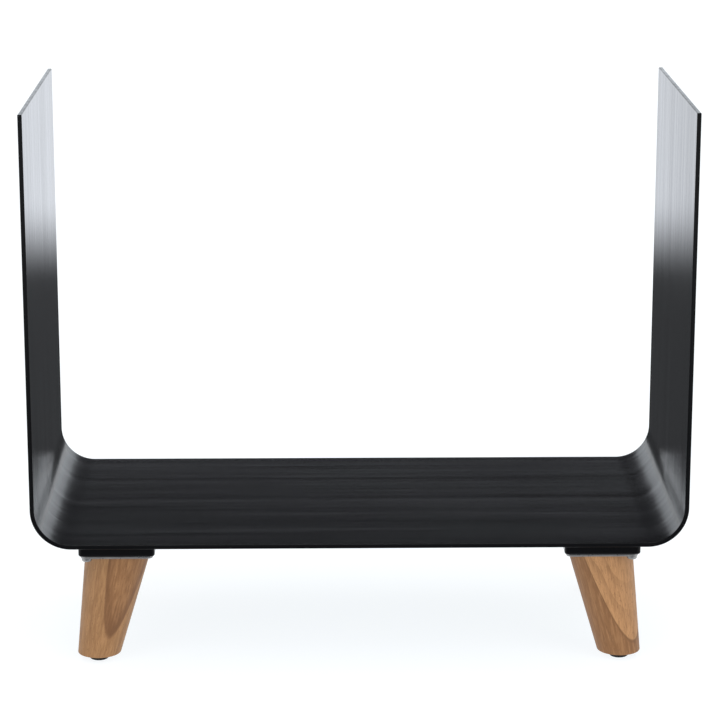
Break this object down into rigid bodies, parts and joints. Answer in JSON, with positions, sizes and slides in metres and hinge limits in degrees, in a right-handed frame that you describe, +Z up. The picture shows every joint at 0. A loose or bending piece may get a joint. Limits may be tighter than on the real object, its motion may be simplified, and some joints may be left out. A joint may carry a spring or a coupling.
{
  "type": "firewood log rack",
  "caption": "Open firewood rack: a bent sheet-steel cradle with two tall side walls, standing on splayed, tapered wooden legs with glides.",
  "frame": {"origin": "on the floor, under the middle of the rack's footprint", "axes": "+Z up, +X along the width to the rack's right as seen from the front, -Y towards the front"},
  "size_m": [0.6, 0.28, 0.5207],
  "materials": {
    "powder_coated_steel": "satin black powder coat with a fine orange peel",
    "zinc_plated_steel": "bright zinc plate",
    "oiled_beech": "light oil, satin, grain along the leg",
    "black_plastic": "matt moulded"
  },
  "bodies": {
    "root": {"cradle": "powder_coated_steel", "spacer_front_left": "powder_coated_steel", "leg_plate_front_left": "zinc_plated_steel", "plate_nut_front_left": "zinc_plated_steel", "leg_stud_front_left": "zinc_plated_steel", "leg_front_left": "oiled_beech", "glide_front_left": "black_plastic", "glide_nail_front_left": "zinc_plated_steel", "plate_screw_front_left_1": "zinc_plated_steel", "plate_screw_front_left_2": "zinc_plated_steel", "spacer_front_right": "powder_coated_steel", "leg_plate_front_right": "zinc_plated_steel", "plate_nut_front_right": "zinc_plated_steel", "leg_stud_front_right": "zinc_plated_steel", "leg_front_right": "oiled_beech", "glide_front_right": "black_plastic", "glide_nail_front_right": "zinc_plated_steel", "plate_screw_front_right_1": "zinc_plated_steel", "plate_screw_front_right_2": "zinc_plated_steel", "spacer_back_left": "powder_coated_steel", "leg_plate_back_left": "zinc_plated_steel", "plate_nut_back_left": "zinc_plated_steel", "leg_stud_back_left": "zinc_plated_steel", "leg_back_left": "oiled_beech", "glide_back_left": "black_plastic", "glide_nail_back_left": "zinc_plated_steel", "plate_screw_back_left_1": "zinc_plated_steel", "plate_screw_back_left_2": "zinc_plated_steel", "spacer_back_right": "powder_coated_steel", "leg_plate_back_right": "zinc_plated_steel", "plate_nut_back_right": "zinc_plated_steel", "leg_stud_back_right": "zinc_plated_steel", "leg_back_right": "oiled_beech", "glide_back_right": "black_plastic", "glide_nail_back_right": "zinc_plated_steel", "plate_screw_back_right_1": "zinc_plated_steel", "plate_screw_back_right_2": "zinc_plated_steel"}
  },
  "joints": []
}
